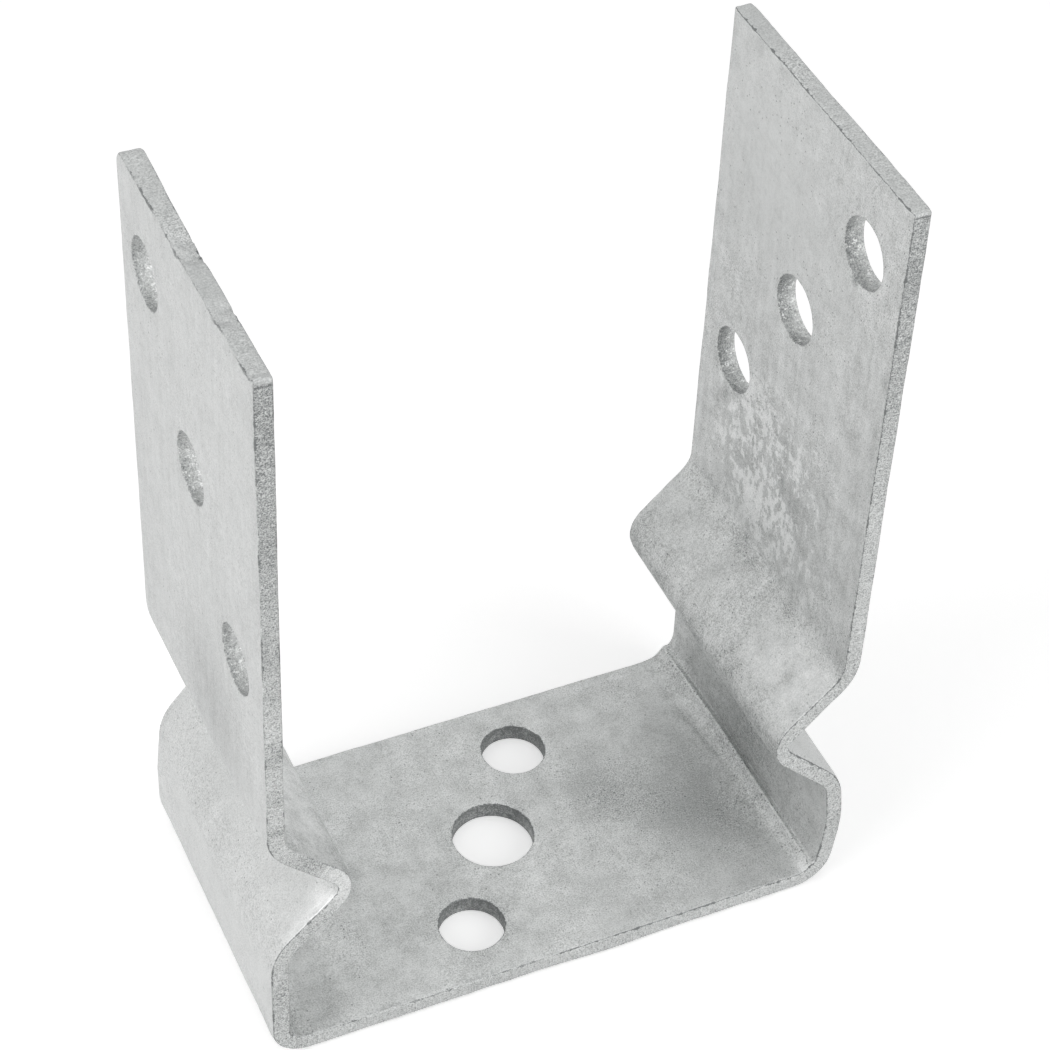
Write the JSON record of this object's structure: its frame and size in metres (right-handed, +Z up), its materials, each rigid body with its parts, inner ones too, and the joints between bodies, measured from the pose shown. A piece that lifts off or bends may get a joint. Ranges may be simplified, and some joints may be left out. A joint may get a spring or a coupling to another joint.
{
  "type": "post base",
  "caption": "Folded flat-bar post base that bolts to a slab and holds a timber post between its legs, on ridges above the ground.",
  "frame": {"origin": "on the underside, below the middle of the base's middle anchor hole", "axes": "+Z up along the legs, X from one leg to the other, Y along the folds and across the flat bar"},
  "size_m": [0.109, 0.06, 0.154],
  "materials": {
    "galvanised_steel": "hot-dip galvanised, dull grey with mottled zinc"
  },
  "bodies": {
    "root": {"bracket": "galvanised_steel"}
  },
  "joints": []
}
